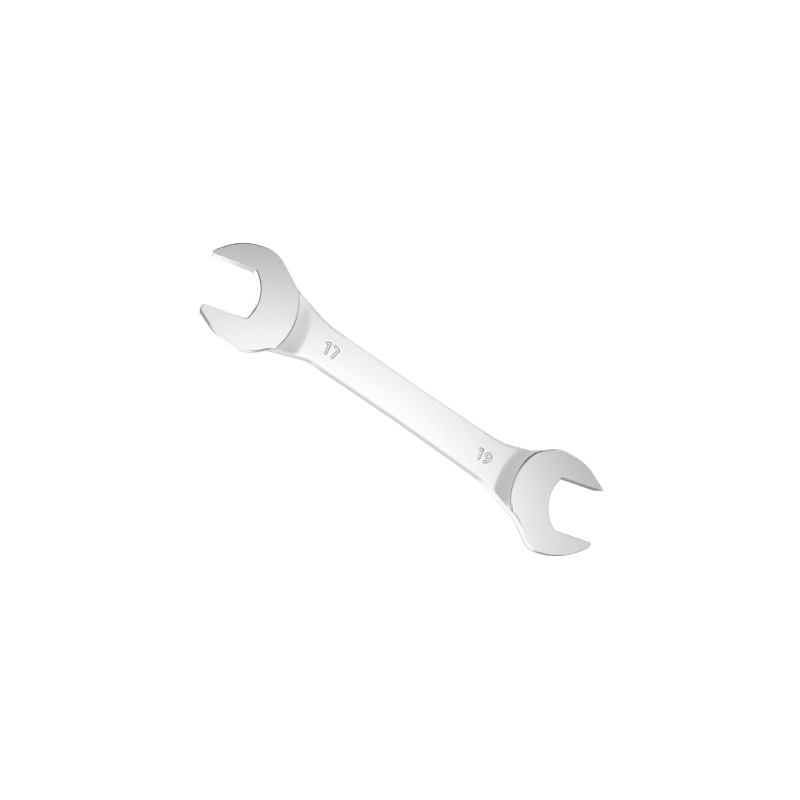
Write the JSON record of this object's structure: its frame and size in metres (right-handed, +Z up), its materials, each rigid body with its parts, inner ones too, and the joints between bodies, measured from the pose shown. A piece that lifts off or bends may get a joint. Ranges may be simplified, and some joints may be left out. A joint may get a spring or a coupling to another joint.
{
  "type": "open end wrench",
  "caption": "Double open end wrench: flat shank with a smaller and a larger open jaw, each turned fifteen degrees to the shank, polished chrome finish.",
  "frame": {"origin": "below the middle of the overall length and width, on the plane of the heads' lower faces", "axes": "+X along the shank towards the larger head, +Y across the shank towards the larger head's shorter jaw, +Z up, square to the heads' faces"},
  "size_m": [0.1696, 0.0378, 0.0065],
  "materials": {
    "chrome": "bright polished chrome plate on forged steel"
  },
  "bodies": {
    "root": {"wrench": "chrome"}
  },
  "joints": []
}
